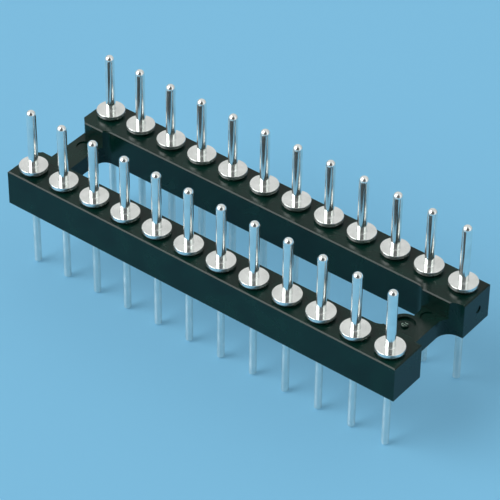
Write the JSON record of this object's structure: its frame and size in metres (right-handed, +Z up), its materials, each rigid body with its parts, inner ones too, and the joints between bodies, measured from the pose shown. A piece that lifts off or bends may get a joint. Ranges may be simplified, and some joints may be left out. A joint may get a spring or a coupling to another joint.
{
  "type": "dual-in-line pin header",
  "caption": "Dual-in-line header: turned pins with round collars in an open black moulded frame with low end bars and an end notch; plugs into boards or sockets on a 2.54 mm grid.",
  "frame": {"origin": "on the plane of the tail tips, under the middle of the frame", "axes": "+X along the rows towards the notched end, +Y across the rows, +Z up along the posts"},
  "size_m": [0.0304, 0.01, 0.0122],
  "materials": {
    "moulding": "black thermoplastic, moulded, half gloss",
    "plated_pin": "turned brass with bright tin plating"
  },
  "bodies": {
    "root": {"frame": "moulding", "pin_01": "plated_pin", "pin_02": "plated_pin", "pin_03": "plated_pin", "pin_04": "plated_pin", "pin_05": "plated_pin", "pin_06": "plated_pin", "pin_07": "plated_pin", "pin_08": "plated_pin", "pin_09": "plated_pin", "pin_10": "plated_pin", "pin_11": "plated_pin", "pin_12": "plated_pin", "pin_13": "plated_pin", "pin_14": "plated_pin", "pin_15": "plated_pin", "pin_16": "plated_pin", "pin_17": "plated_pin", "pin_18": "plated_pin", "pin_19": "plated_pin", "pin_20": "plated_pin", "pin_21": "plated_pin", "pin_22": "plated_pin", "pin_23": "plated_pin", "pin_24": "plated_pin"}
  },
  "joints": []
}
